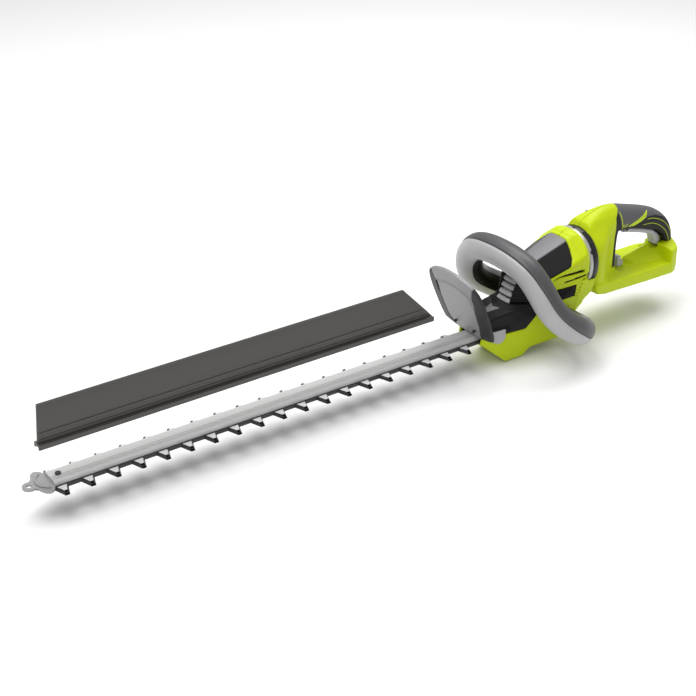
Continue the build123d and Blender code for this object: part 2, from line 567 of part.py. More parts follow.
pivot_ears += block(TRIGGER_PIVOT[0] - 4.2, TRIGGER_PIVOT[0] + 4.2, -13, 13, TRIGGER_PIVOT[1], 142)
rear_shell = rear_shell + pivot_ears - trigger_slot - trigger_pin
grip_skin = grip_skin - trigger_slot - pivot_ears
save("rear_trigger", trigger)
save("trigger_pin", trigger_pin)
save("rear_switch", block(244, 272, -12.5, 12.5, 140, 153) + block(254, 262, -3, 3, 134.5, 140))

# Swivel lock: a slide on the deck whose pin enters the sleeve's holes.
LOCK_Z = SWIVEL_Z - DETENT_R
lock = rod_x(151.6, 220, 0, LOCK_Z, 2.6) + block(216.4, 227, -6.5, 6.5, DECK_Z + 0.4, 93)
lock -= plan([(222, -7), (228, -7), (228, 7), (222, 7)], 86, 95)
for x in (223, 225.4):
    lock -= block(x, x + 1, -6.6, 6.6, 85, 87)
lock_hole = rod_x(140, 221, 0, LOCK_Z, 2.7)
rear_shell -= lock_hole
grip_skin -= lock_hole
save("swivel_lock", lock)

REAR_SCREWS = [(170, 166, 16), (170, 66, 26), (232, 156, 11), (306, 127, 11), (312, 70, 20)]
rear_screws = []
for x, z, head_y in REAR_SCREWS:
    boss = rod_y(x, z, -60, 60, 4.4) & rear_form(OVERMOULD)
    recess = rod_y(x, z, head_y - 0.01, 60, 3.7)
    screw = rod_y(x, z, -head_y + 3, head_y, 2.0) + rod_y(x, z, head_y, head_y + 2.4, 3.6)
    rear_shell = rear_shell + boss - recess - screw
    grip_skin = grip_skin - recess
    rear_screws.append(screw)
save("rear_housing_screws", *rear_screws)
save("grip_overmould", grip_skin)
save("left_rear_housing", cut_side(rear_shell, -1))
save("right_rear_housing", cut_side(rear_shell, 1))

knurl = tube_x(*KNURL_X, 0, SWIVEL_Z, SWIVEL_R - 1.0, SLEEVE_R + 0.06)
for k in range(36):
    turn = math.radians(10 * k)
    knurl -= rod_x(KNURL_X[0] - 1, KNURL_X[1] - 2.5, (SWIVEL_R - 0.6) * math.cos(turn),
                   SWIVEL_Z + (SWIVEL_R - 0.6) * math.sin(turn), 1.0)
save("knurled_ring", knurl)

save("terminal_block", block(250, 274, -14, 14, 68, 73))
save("terminal_contacts", *[block(254, 270, y - 0.5, y + 0.5, 64.6, 68) for y in (-9.0, 0.0, 9.0)])
LEAD_R = 1.6
rear_route = [(244, 0, 147), (222, 0, 149), (197, 0, 147), (178, 0, 124), (167, 0, SWIVEL_Z),
              (152.5, 0, SWIVEL_Z)]
front_route = [(151.5, 0, SWIVEL_Z), (126, 0, SWIVEL_Z), (106, 0, 112), (94, 0, 123), (84, 0, 128),
               (76, 0, 127), (71, 0, 124), (71, 0, MOTOR_Z[1] + 0.1)]
leads = []
for route in (rear_route, front_route):
    path = FilletPolyline(*route, radius=arc_radii(route))
    leads.append(sweep(Plane(origin=path @ 0, z_dir=path % 0) * Circle(LEAD_R), path=path))
save("switch_leads", leads[0])
save("motor_leads", leads[1])
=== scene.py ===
import math

import bpy
import numpy as np
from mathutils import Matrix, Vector


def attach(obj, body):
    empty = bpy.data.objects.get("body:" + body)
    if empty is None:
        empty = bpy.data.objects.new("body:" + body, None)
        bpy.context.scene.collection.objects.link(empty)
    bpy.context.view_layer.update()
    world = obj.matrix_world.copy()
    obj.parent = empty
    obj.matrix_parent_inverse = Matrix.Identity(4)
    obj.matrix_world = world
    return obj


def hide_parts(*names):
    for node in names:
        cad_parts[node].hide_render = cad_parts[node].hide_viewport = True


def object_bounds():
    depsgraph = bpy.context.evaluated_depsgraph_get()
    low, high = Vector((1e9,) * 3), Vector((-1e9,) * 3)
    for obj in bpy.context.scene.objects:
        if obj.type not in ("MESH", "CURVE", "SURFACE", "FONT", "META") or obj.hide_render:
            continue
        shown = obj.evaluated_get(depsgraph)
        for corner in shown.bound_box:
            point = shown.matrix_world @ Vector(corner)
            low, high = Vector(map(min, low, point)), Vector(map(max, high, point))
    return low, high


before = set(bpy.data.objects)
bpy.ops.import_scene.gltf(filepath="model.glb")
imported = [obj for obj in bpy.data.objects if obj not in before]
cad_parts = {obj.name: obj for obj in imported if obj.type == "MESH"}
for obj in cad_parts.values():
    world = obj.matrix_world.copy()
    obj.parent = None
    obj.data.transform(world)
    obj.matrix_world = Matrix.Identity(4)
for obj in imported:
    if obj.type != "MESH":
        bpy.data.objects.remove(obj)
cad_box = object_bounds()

# Lengths below are in millimetres, in the CAD frame: blade towards -X, operator's left at -Y, +Z up.
MM = 0.001


# ------------------------------------------------------------------ distance fields
def smax(a, b, k):
    """The larger of two fields, with the edge between them rounded over k millimetres."""
    h = np.maximum(k - np.abs(a - b), 0) / k
    return np.maximum(a, b) + h * h * k / 4


def smin(a, b, k):
    return -smax(-a, -b, k)


def outline(px, pz, points):
    """Signed distance to a closed outline, negative inside."""
    points = np.asarray(points, float)
    distance, sign = np.inf, 1.0
    for a, b in zip(points, np.roll(points, -1, 0)):
        ex, ez = b - a
        wx, wz = px - a[0], pz - a[1]
        t = np.clip((wx * ex + wz * ez) / (ex * ex + ez * ez), 0, 1)
        distance = np.minimum(distance, (wx - ex * t) ** 2 + (wz - ez * t) ** 2)
        above, below, left = pz >= a[1], pz < b[1], ex * wz > ez * wx
        sign = np.where((above & below & left) | ~(above | below | left), -sign, sign)
    return sign * np.sqrt(distance)


def rounded(px, pz, points, r):
    """An outline whose corners are rounded by shrinking and growing it."""
    return outline(px, pz, inset(points, r)) - r


def inset(points, r):
    """The outline moved inwards by r at every corner."""
    points = np.asarray(points, float)
    area = np.sum(points[:, 0] * np.roll(points[:, 1], -1) - points[:, 1] * np.roll(points[:, 0], -1))
    if area < 0:
        points = points[::-1]
    result = []
    for a, b, c in zip(np.roll(points, 1, 0), points, np.roll(points, -1, 0)):
        u, v = (b - a) / np.linalg.norm(b - a), (c - b) / np.linalg.norm(c - b)
        nu, nv = np.array([-u[1], u[0]]), np.array([-v[1], v[0]])
        result.append(b + r * (nu + nv) / (1 + nu @ nv))
    return np.array(result)


def smooth_run(points, steps=8, closed=False):
    """A Catmull-Rom curve through points."""
    p = np.asarray(points, float)
    if closed:
        p = np.vstack([p[-1], p, p[0], p[1]])
    else:
        p = np.vstack([2 * p[0] - p[1], p, 2 * p[-1] - p[-2]])
    out = []
    for i in range(1, len(p) - 2):
        for t in np.arange(steps) / steps:
            a, b, c, d = p[i - 1], p[i], p[i + 1], p[i + 2]
            out.append(0.5 * (2 * b + (c - a) * t + (2 * a - 5 * b + 4 * c - d) * t * t
                              + (3 * b - a - 3 * c + d) * t ** 3))
    if not closed:
        out.append(p[-2])
    return np.array(out)


def ball_box(x, y, z, centre, half, r):
    """A box with rounded edges."""
    q = [np.abs(v - c) - (h - r) for v, c, h in zip((x, y, z), centre, half)]
    outside = np.sqrt(sum(np.maximum(v, 0) ** 2 for v in q))
    return outside + np.minimum(np.maximum(np.maximum(q[0], q[1]), q[2]), 0) - r


def ramp(x, xs, ys):
    return np.interp(x, xs, ys)


# ------------------------------------------------------------------ field to mesh
def gradient(field, p, step):
    axes = np.eye(3) * step
    return np.stack([field(*(p + e).T) - field(*(p - e).T) for e in axes], 1) / (2 * step)


def net(field, low, high, size):
    """Vertices and quads of a field's zero surface in a box, by surface nets and a few Newton steps."""
    low, high = np.asarray(low, float), np.asarray(high, float)
    count = np.ceil((high - low) / size).astype(int) + 1
    axes = [low[i] + size * np.arange(count[i]) for i in range(3)]
    values = np.broadcast_to(field(axes[0][:, None, None], axes[1][None, :, None], axes[2][None, None, :]),
                             tuple(count)).astype(np.float32)
    inside = values < 0
    corners = [(i, j, k) for i in (0, 1) for j in (0, 1) for k in (0, 1)]

    def part(array, c):
        return array[tuple(slice(o, array.shape[n] - 1 + o) for n, o in enumerate(c))]

    total = sum(part(inside, c).astype(np.int8) for c in corners)
    mixed = (total > 0) & (total < 8)
    cells = np.argwhere(mixed)
    index = np.full(mixed.shape, -1, np.int64)
    index[mixed] = np.arange(len(cells))
    place, hits = np.zeros((len(cells), 3)), np.zeros(len(cells))
    for a in corners:
        for axis in range(3):
            if a[axis]:
                continue
            b = tuple(v + (n == axis) for n, v in enumerate(a))
            va = values[tuple((cells + a).T)]
            vb = values[tuple((cells + b).T)]
            crossing = (va < 0) != (vb < 0)
            t = np.where(crossing, va / np.where(va == vb, 1, va - vb), 0)
            point = cells + np.array(a) + t[:, None] * (np.array(b) - np.array(a))
            place += np.where(crossing[:, None], point, 0)
            hits += crossing
    vertices = low + size * place / hits[:, None]
    quads = []
    for axis in range(3):
        u, v = (axis + 1) % 3, (axis + 2) % 3
        lower = tuple(slice(0, -1) if n == axis else slice(None) for n in range(3))
        upper = tuple(slice(1, None) if n == axis else slice(None) for n in range(3))
        change = inside[lower] != inside[upper]
        edges = np.argwhere(change)
        keep = (edges[:, u] > 0) & (edges[:, v] > 0)
        keep &= (edges[:, u] < count[u] - 1) & (edges[:, v] < count[v] - 1)
        edges = edges[keep]
        du, dv = np.eye(3, dtype=int)[u], np.eye(3, dtype=int)[v]
        ring = [edges - du - dv, edges - dv, edges, edges - du]
        quad = np.stack([index[tuple(c.T)] for c in ring], 1)
        flip = ~inside[lower][tuple(edges.T)]
        quad[flip] = quad[flip][:, ::-1]
        quads.append(quad)
    for _ in range(3):
        g = gradient(field, vertices, 0.15)
        step = field(*vertices.T) / np.maximum((g ** 2).sum(1), 0.2)
        vertices -= g * np.clip(step, -0.6 * size, 0.6 * size)[:, None]
    return vertices, np.vstack(quads)


def mesh_object(name, vertices, faces, materials, body, replaces=(), smooth=True, finish=None):
    """A piece from points in millimetres; finish gives each face's place in the list of materials."""
    mesh = bpy.data.meshes.new(name)
    faces = np.asarray(faces)
    if faces.dtype == object or faces.ndim == 1:
        mesh.from_pydata([tuple(v * MM for v in p) for p in vertices], [], [tuple(f) for f in faces])
    else:
        count, sides = faces.shape
        mesh.vertices.add(len(vertices))
        mesh.vertices.foreach_set("co", (np.asarray(vertices) * MM).astype(np.float32).ravel())
        mesh.loops.add(count * sides)
        mesh.loops.foreach_set("vertex_index", faces.astype(np.int32).ravel())
        mesh.polygons.add(count)
        mesh.polygons.foreach_set("loop_start", np.arange(0, count * sides, sides, dtype=np.int32))
        mesh.polygons.foreach_set("loop_total", np.full(count, sides, np.int32))
        mesh.update(calc_edges=True)
    for material in materials if isinstance(materials, (list, tuple)) else [materials]:
        mesh.materials.append(material)
    if finish is not None:
        mesh.polygons.foreach_set("material_index", np.asarray(finish, np.int32))
    mesh.validate()
    mesh.polygons.foreach_set("use_smooth", np.full(len(mesh.polygons), smooth))
    piece = bpy.data.objects.new(name, mesh)
    bpy.context.scene.collection.objects.link(piece)
    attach(piece, body)
    if replaces:
        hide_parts(*replaces)
    return piece


def moulding(name, field, low, high, size, material, body, replaces=()):
    """A piece whose surface is a distance field's."""
    vertices, quads = net(field, low, high, size)
    return mesh_object(name, vertices, quads, material, body, replaces)


# ------------------------------------------------------------------ materials
def shader(name):
    material = bpy.data.materials.new(name)
    material.use_nodes = True
    nodes, links = material.node_tree.nodes, material.node_tree.links
    return material, nodes, links, nodes["Principled BSDF"]


def varied(name, colour, roughness, grain=900.0, bump=0.04, spread=0.06, patch=9.0, metallic=0.0, coat=0.0,
           rough_spread=0.08, stretch=(1, 1, 1), wear=0.0, wear_colour=(0.6, 0.6, 0.6), shine=0.5):
    """Moulded or machined surface: slow colour drift, fine grain in bump and roughness, and worn edges."""
    material, nodes, links, bsdf = shader(name)
    coords = nodes.new("ShaderNodeTexCoord")
    mapping = nodes.new("ShaderNodeMapping")
    mapping.inputs["Scale"].default_value = stretch
    links.new(coords.outputs["Object"], mapping.inputs["Vector"])
    slow = nodes.new("ShaderNodeTexNoise")
    slow.inputs["Scale"].default_value = patch
    slow.inputs["Detail"].default_value = 3
    fine = nodes.new("ShaderNodeTexNoise")
    fine.inputs["Scale"].default_value = grain
    fine.inputs["Detail"].default_value = 2
    for texture in (slow, fine):
        links.new(mapping.outputs["Vector"], texture.inputs["Vector"])
    tint = nodes.new("ShaderNodeValToRGB")
    tint.color_ramp.elements[0].position = 0.3
    tint.color_ramp.elements[1].position = 0.7
    tint.color_ramp.elements[0].color = [c * (1 - spread) for c in colour] + [1]
    tint.color_ramp.elements[1].color = [min(1, c * (1 + spread)) for c in colour] + [1]
    links.new(slow.outputs["Fac"], tint.inputs["Fac"])
    colour_out = tint.outputs["Color"]
    if wear:
        geometry = nodes.new("ShaderNodeNewGeometry")
        edge = nodes.new("ShaderNodeMapRange")
        edge.inputs["From Min"].default_value = 0.53
        edge.inputs["From Max"].default_value = 0.62
        edge.inputs["To Max"].default_value = wear
        links.new(geometry.outputs["Pointiness"], edge.inputs["Value"])
        mix = nodes.new("ShaderNodeMix")
        mix.data_type = "RGBA"
        mix.inputs["B"].default_value = list(wear_colour) + [1]
        links.new(edge.outputs["Result"], mix.inputs["Factor"])
        links.new(colour_out, mix.inputs["A"])
        colour_out = mix.outputs["Result"]
    links.new(colour_out, bsdf.inputs["Base Color"])
    rough = nodes.new("ShaderNodeMapRange")
    rough.inputs["To Min"].default_value = roughness - rough_spread
    rough.inputs["To Max"].default_value = roughness + rough_spread
    links.new(fine.outputs["Fac"], rough.inputs["Value"])
    links.new(rough.outputs["Result"], bsdf.inputs["Roughness"])
    if bump:
        relief = nodes.new("ShaderNodeBump")
        relief.inputs["Strength"].default_value = bump
        relief.inputs["Distance"].default_value = 0.0006
        links.new(fine.outputs["Fac"], relief.inputs["Height"])
        links.new(relief.outputs["Normal"], bsdf.inputs["Normal"])
    bsdf.inputs["Metallic"].default_value = metallic
    bsdf.inputs["Coat Weight"].default_value = coat
    bsdf.inputs["Specular IOR Level"].default_value = shine
    return material


GREEN = varied("green_moulding", (0.45, 0.56, 0.001), 0.42, grain=1400, bump=0.04, spread=0.04, shine=0.22)
GREEN_TRIM = varied("green_trim", (0.46, 0.60, 0.01), 0.42, grain=1200, bump=0.05, spread=0.05, shine=0.25)
GUARD_GREY = varied("guard_moulding", (0.215, 0.215, 0.22), 0.40, grain=1300, bump=0.05, coat=0.08)
# Painted shade: a dark copy of the guard grey for the guard's side bands, which are the same grey plastic.
GUARD_PAINTED_SHADE = varied("guard_sides_painted_shade", (0.026, 0.026, 0.028), 0.46, grain=1300, bump=0.05, shine=0.25)
# Painted reflection: grey for the top facet of the dark gear cover, standing in for the white surroundings it
# reflects.
ROOF_PAINTED_REFLECTION = varied("cover_roof_painted_reflection", (0.135, 0.135, 0.14), 0.42, grain=1300, bump=0.05)
# Painted reflection: grey for the top facet of the dark top cover, standing in for the white surroundings it
# reflects.
PANEL_PAINTED_REFLECTION = varied("top_panel_painted_reflection", (0.15, 0.15, 0.155), 0.42, grain=1300, bump=0.06)
DARK = varied("dark_moulding", (0.010, 0.010, 0.011), 0.46, grain=1200, bump=0.08, spread=0.12, shine=0.16)
BLACK = varied("black_moulding", (0.004, 0.004, 0.0045), 0.5, grain=1200, bump=0.08, spread=0.12, shine=0.08)
HANDLE_DARK = varied("handle_dark_moulding", (0.055, 0.055, 0.058), 0.42, grain=1300, bump=0.06, coat=0.05)
LIGHT_GREY = varied("light_grey_moulding", (0.36, 0.36, 0.365), 0.40, grain=1300, bump=0.05, coat=0.06)
PALE_GREY = varied("pale_grey_moulding", (0.42, 0.42, 0.46), 0.40, grain=1300, bump=0.05)
RUBBER = varied("grip_rubber", (0.014, 0.014, 0.015), 0.6, grain=2200, bump=0.25, spread=0.1, shine=0.25)
RUBBER_LIGHT = varied("grip_rubber_light", (0.085, 0.085, 0.09), 0.6, grain=2200, bump=0.25, spread=0.1)
SILVER = varied("collar_silver", (0.42, 0.42, 0.41), 0.34, grain=700, bump=0.03, metallic=0.55)
STEEL = varied("ground_steel", (0.72, 0.73, 0.74), 0.30, grain=420, bump=0.05, metallic=0.35,
               stretch=(0.15, 2.2, 1), spread=0.08, patch=14)
# Painted shade: a near-black copy of the blade steel for the flanks, tooth walls and the strip beside the
# rail.
STEEL_PAINTED_SHADE = varied("steel_edges_painted_shade", (0.045, 0.045, 0.047), 0.4, grain=500, bump=0.04, metallic=0.5,
                    stretch=(2.0, 0.3, 1))
# Painted shade: a darker copy of the blade steel for the lower blade's faces.
LOWER_STEEL_PAINTED_SHADE = varied("lower_blade_steel_painted_shade", (0.16, 0.16, 0.165), 0.36, grain=500, bump=0.04, metallic=0.6,
                   stretch=(2.0, 0.3, 1))
RAIL = varied("anodised_rail", (0.50, 0.50, 0.495), 0.44, grain=520, bump=0.06, metallic=0.25,
              stretch=(0.04, 1.6, 1.6), spread=0.05)
CAST = varied("cast_tip", (0.30, 0.30, 0.30), 0.48, grain=800, bump=0.25, metallic=0.5, spread=0.12)
CASE = varied("cast_case", (0.30, 0.30, 0.31), 0.5, grain=700, bump=0.3, metallic=0.6)
SWEEP = varied("sweep_extrusion", (0.052, 0.049, 0.044), 0.46, grain=600, bump=0.05, stretch=(0.05, 1, 1),
               spread=0.12, coat=0.05)
MACHINED = varied("machined_steel", (0.45, 0.45, 0.46), 0.3, grain=900, bump=0.05, metallic=0.95)
BLACKENED = varied("blackened_steel", (0.05, 0.05, 0.052), 0.4, grain=900, bump=0.06, metallic=0.7)
COPPER = varied("contact_copper", (0.62, 0.33, 0.16), 0.34, grain=600, bump=0.05, metallic=0.95)
LAMINATED = varied("laminations", (0.14, 0.14, 0.15), 0.5, grain=300, bump=0.3, metallic=0.6,
                   stretch=(1, 1, 14))
GLOSS_BLACK = varied("collar_black", (0.006, 0.006, 0.007), 0.3, grain=900, bump=0.02, shine=0.4)
RED = varied("lead_red", (0.45, 0.02, 0.02), 0.5, grain=900, bump=0.05)

# ------------------------------------------------------------------ camera, light and floor
AZIMUTH, ELEVATION = math.radians(-34.88), math.radians(28.21)
CAMERA_PLACE = Vector((-1.2055, -1.3620, 0.9760))


def add_camera():
    data = bpy.data.cameras.new("camera")
    data.sensor_width = 36
    data.lens = 75.45
    data.clip_end = 20
    camera = bpy.data.objects.new("camera", data)
    back = Vector((math.sin(AZIMUTH) * math.cos(ELEVATION), -math.cos(AZIMUTH) * math.cos(ELEVATION),
                   math.sin(ELEVATION)))
    camera.location = CAMERA_PLACE
    camera.rotation_mode = "QUATERNION"
    camera.rotation_quaternion = (-back).to_track_quat("-Z", "Y")
    bpy.context.scene.collection.objects.link(camera)
    bpy.context.scene.camera = camera


def add_light(name, place, target, size, power):
    data = bpy.data.lights.new(name, "AREA")
    data.shape = "RECTANGLE"
    data.size, data.size_y = size
    data.energy = power
    light = bpy.data.objects.new(name, data)
    light.location = place
    light.rotation_mode = "QUATERNION"
    light.rotation_quaternion = (Vector(target) - Vector(place)).to_track_quat("-Z", "Y")
    bpy.context.scene.collection.objects.link(light)


def add_surroundings():
    world = bpy.data.worlds.new("studio")
    bpy.context.scene.world = world
    world.use_nodes = True
    world.node_tree.nodes["Background"].inputs["Color"].default_value = (1, 1, 1, 1)
    world.node_tree.nodes["Background"].inputs["Strength"].default_value = 0.6
    middle = (-0.2, 0, 0.08)
    add_light("key", (-1.0, 0.4, 2.2), middle, (2.0, 1.6), 42)
    add_light("rear_key", (0.8, 0.5, 1.9), (0.15, 0, 0.1), (1.6, 1.2), 26)
    add_light("side_fill", (-1.4, -2.2, 0.7), middle, (2.0, 0.7), 7)
    floor = mesh_floor()
    bpy.context.scene.view_settings.view_transform = "Standard"


def mesh_floor():
    mesh = bpy.data.meshes.new("floor")
    r = 12.0
    level = float(cad_box[0].z) - 0.0006
    mesh.from_pydata([(-r, -r, level), (r, -r, level), (r, r, level), (-r, r, level)], [], [(0, 1, 2, 3)])
    floor = bpy.data.objects.new("floor", mesh)
    bpy.context.scene.collection.objects.link(floor)
    material, nodes, links, bsdf = shader("floor_paper")
    noise = nodes.new("ShaderNodeTexNoise")
    noise.inputs["Scale"].default_value = 3
    tone = nodes.new("ShaderNodeMapRange")
    tone.inputs["To Min"].default_value = 0.80
    tone.inputs["To Max"].default_value = 0.84
    links.new(noise.outputs["Fac"], tone.inputs["Value"])
    links.new(tone.outputs["Result"], bsdf.inputs["Base Color"])
    bsdf.inputs["Roughness"].default_value = 0.9
    bsdf.inputs["Specular IOR Level"].default_value = 0.1
    mesh.materials.append(material)
    return floor


add_camera()
add_surroundings()

# ------------------------------------------------------------------ motor housing
SWIVEL_Z = 113.9
SEAM = 0.18
GAP = 0.35
HOUSE_SIDE = [(-46, 47), (-50, 46.4), (-52, 38), (-8, 0), (22, 0), (34, 10), (88, 10), (113, 50), (123, 60),
              (123, 160), (112, 159), (51, 136.5), (20, 122), (2, 80.5), (-5, 80), (-34, 75.5), (-52.5, 71)]
HOUSE_WIDTH = ([-70, -10, 20, 60, 104, 124], [24, 31, 34.5, 40, 45.9, 45.9])
NOSE_WIDTH = ([-60, 8, 44], [15, 15, 38.5])
LOWER_WIDTH = ([0, 36, 62, 84, 104, 118], [29, 33, 37, 43, 45.9, 45.9])
RIDGE = ([20, 51, 112, 123], [124.4, 136.8, 159.6, 160.8])
GEAR_COVER = [(-90, 46.4), (20, 46.4), (40, 66), (36, 81), (-90, 81)]
TOP_COVER = [(-40, 119), (40, 112), (52, 112.5), (88, 124), (95, 133), (99, 143), (101, 153), (101, 200),
             (-40, 200)]
NOSE = [(-40, 81), (36, 81), (40, 112), (-40, 119)]
LIP = [(112, 60), (123, 60), (137, 75), (137, 97), (112, 97)]


def house(x, y, z):
    aside = np.abs(y)
    side = outline(x, z, HOUSE_SIDE)
    wide = aside - ramp(x, *HOUSE_WIDTH)
    lower = (aside - ramp(z, *LOWER_WIDTH)) * 0.985
    roof = (z + 0.1 * aside - ramp(x, *RIDGE)) * 0.93
    flank = 0.739 * (z - 134.5) + 0.5955 * (aside - 13.5) - 0.315 * (x - 51)
    body = smax(smax(side, wide, 4), lower, 4)
    body = smax(smax(body, flank, 3), roof, 1.8)
    shoulder = np.maximum(np.maximum(81 - z, (ramp(x, *NOSE_WIDTH) - aside) * 0.84), (x - 44) * 0.8)
    body = smax(body, -shoulder, 2)
    barrel = np.sqrt(y ** 2 + (z - SWIVEL_Z) ** 2) - (46.6 + 0.9 * np.maximum(119 - x, 0))
    body = smax(body, np.where(z > 100, barrel, -50), 2.5)
    lip = smax(smax(outline(x, z, LIP), aside - 45.9, 3), lower, 4)
    lip = smax(lip, 46.7 - np.sqrt(y ** 2 + (z - SWIVEL_Z) ** 2) - 60 * (x < 122.9), 0.6)
    return np.minimum(body, lip)


def tunnel(x, y, z):
    return ball_box(x, y, z, (-10, 0, 38.3), (80, 21.5, 8.2), 1.0)


VENTS = [
    [(59, 108.6), (71, 112.0), (113, 111.6), (113, 116.4), (80, 115.4), (66, 113.2)],
    [(79, 101.8), (120, 104.2), (120, 107.2), (79, 104.6)],
    [(80, 56.5), (96, 60.5), (96, 61.9), (80, 58.2)],
    [(12, 66), (16, 68.2), (27, 68.6), (27, 67.2), (17, 66.6)],
] + [[(x, z), (x + 5, z + 0.9), (x + 5, z + 1.9), (x, z + 1.2)]
     for x, z in ((108, 93), (106, 88.5), (112, 99.5), (105, 84), (103, 79.5), (101, 75), (98, 50))]
BADGE = [(62.2, 75.2), (101.6, 76.2), (100.6, 95.8), (61.2, 94.8)]


def green_house(x, y, z):
    form = house(x, y, z)
    body = smax(form, -(outline(x, z, GEAR_COVER) - GAP), 1.4)
    body = smax(body, -(outline(x, z, TOP_COVER) - GAP), 1.6)
    body = smax(body, -(outline(x, z, NOSE) - GAP), 1.2)
    hoop = np.abs(x - 114.5) - 7.5
    body = smin(body, smax(form - 0.8, hoop, 2.0), 1.5)
    sunk = outline(x, z, [(84, 97.5), (124, 100), (126, 109.5), (100, 108.6)])
    body = smax(body, -np.maximum(sunk, -(form + 0.9)), 0.8)
    for vent in VENTS:
        body = smax(body, -np.maximum(outline(x, z, vent), 30 - np.abs(y)), 0.5)
    plate = rounded(x, z, BADGE, 1.0)
    body = smax(body, -np.maximum(plate, -(form + 1.3)), 0.5)
    return smax(body, -tunnel(x, y, z), 1.0)


def left_of_seam(field):
    return lambda x, y, z: smax(field(x, y, z), y + SEAM, 0.5)


def right_of_seam(field):
    return lambda x, y, z: smax(field(x, y, z), SEAM - y, 0.5)


def build_house():
    def hollow(x, y, z):
        return smax(green_house(x, y, z), -(house(x, y, z) + 3.2), 0.5)
    moulding("motor_housing_left", left_of_seam(hollow), (-56, -49, -3), (140, 2, 163), 1.1, GREEN,
             "front_body", ["left_motor_housing"])
    moulding("motor_housing_right", right_of_seam(hollow), (-56, -2, -3), (140, 49, 163), 1.1, GREEN,
             "front_body", ["right_motor_housing"])

    # Painted shade: a dark inner skin just inside the shell, so the vents and gaps show dark in place of the
    # housing's interior.
    def core(x, y, z):
        return smax(house(x, y, z) + 3.6, -tunnel(x, y, z), 1)
    moulding("housing_painted_shade_skin", lambda x, y, z: np.maximum(core(x, y, z), -(core(x, y, z) + 2.4)),
             (-60, -50, -3), (124, 50, 166), 2.0, DARK, "front_body")

    def crease(x, z):
        """Half width of the panel on top of the cover whose grey is painted reflection."""
        return ramp(x, [20, 51, 101], [10.6, 13.6, 17.4])

    def cover(x, y, z):
        piece = smax(house(x, y, z) + 0.3, outline(x, z, TOP_COVER) + GAP, 0.9)
        return smax(piece, -(house(x, y, z) + 3.4), 0.4)

    # The top panel is the same dark plastic as the sides; its grey is painted reflection.
    moulding("top_cover_panel", lambda x, y, z: np.maximum(cover(x, y, z), np.abs(y) - crease(x, z)),
             (10, -22, 108), (104, 22, 160), 0.9, PANEL_PAINTED_REFLECTION, "front_body", ["top_cover"])
    moulding("top_cover_sides", lambda x, y, z: np.maximum(cover(x, y, z), crease(x, z) + 0.05 - np.abs(y)),
             (10, -48, 106), (104, 48, 158), 0.9, DARK, "front_body", ["top_cover"])


def gear_form(x, y, z):
    aside = np.abs(y)
    side = outline(x, z, [(-60, 46.6), (19.6, 46.6), (39.4, 66), (35.6, 80.8), (2, 80.5), (-5, 79.6),
                          (-40, 73.2), (-61, 68.6)])
    roof = (z + 0.26 * aside - ramp(x, [-62, -20, -5, 6, 40], [67.2, 75.6, 79.0, 85, 97])) * 0.955
    crease_y = ramp(x, [-60, -5, 12, 38], [20.0, 20.0, 26.5, 37.5])
    crease_z = ramp(x, [-60, -5, 12, 38], [62.2, 73.6, 78, 81])
    flank = ((aside - crease_y) + 0.46 * (z - crease_z)) * 0.9
    wide = aside - ramp(x, [-62, -10, 30], [25, 31.2, 36.2])
    return smax(smax(smax(side, wide, 1.6), flank, 1.2), roof, 1.0)


def lit_roof(x, y, z):
    """The part of the gear cover that belongs to its top facet, whose grey is painted reflection on the dark
    plastic.
    """
    aside = np.abs(y)
    edge = aside - ramp(x, [-60, -5, -1], [20.0, 20.0, 20.6])
    end = (x + 13) * 0.8 - (aside) * 0.5
    return np.maximum(np.maximum(edge, end), 60 - z)


def build_gear_cover():
    def solid(x, y, z):
        body = smax(gear_form(x, y, z), -tunnel(x, y, z), 0.8)
        return smax(body, -(gear_form(x, y, z) + 3.4), 0.3)

    def roof_only(x, y, z):
        return np.maximum(np.maximum(solid(x, y, z), lit_roof(x, y, z)), -(guard_coords(x, y, z)[2] - 4.6))

    def sides_only(x, y, z):
        body = np.maximum(solid(x, y, z), -(lit_roof(x, y, z) - 0.05))
        for level in (66.5, 70.5, 74.5):
            rib = np.maximum(np.abs(z - level) - 0.7, 20 - x)
            body = smax(body, -np.maximum(rib, -(gear_form(x, y, z) + 0.9)), 0.5)
        return np.maximum(body, -(guard_coords(x, y, z)[2] - 4.6))
    # The roof facet is the same dark plastic as the sides; its grey is painted reflection.
    moulding("gear_cover_roof", roof_only, (-62, -24, 56), (8, 24, 83), 0.85, ROOF_PAINTED_REFLECTION, "front_body",
             ["gear_cover"])
    moulding("gear_cover_sides", sides_only, (-62, -39, 44), (42, 39, 83), 0.85, DARK, "front_body",
             ["gear_cover"])


def lean(z):
    """How far back the louvres' front lies at a height."""
    return 2.4 + 0.41 * (z - 79)


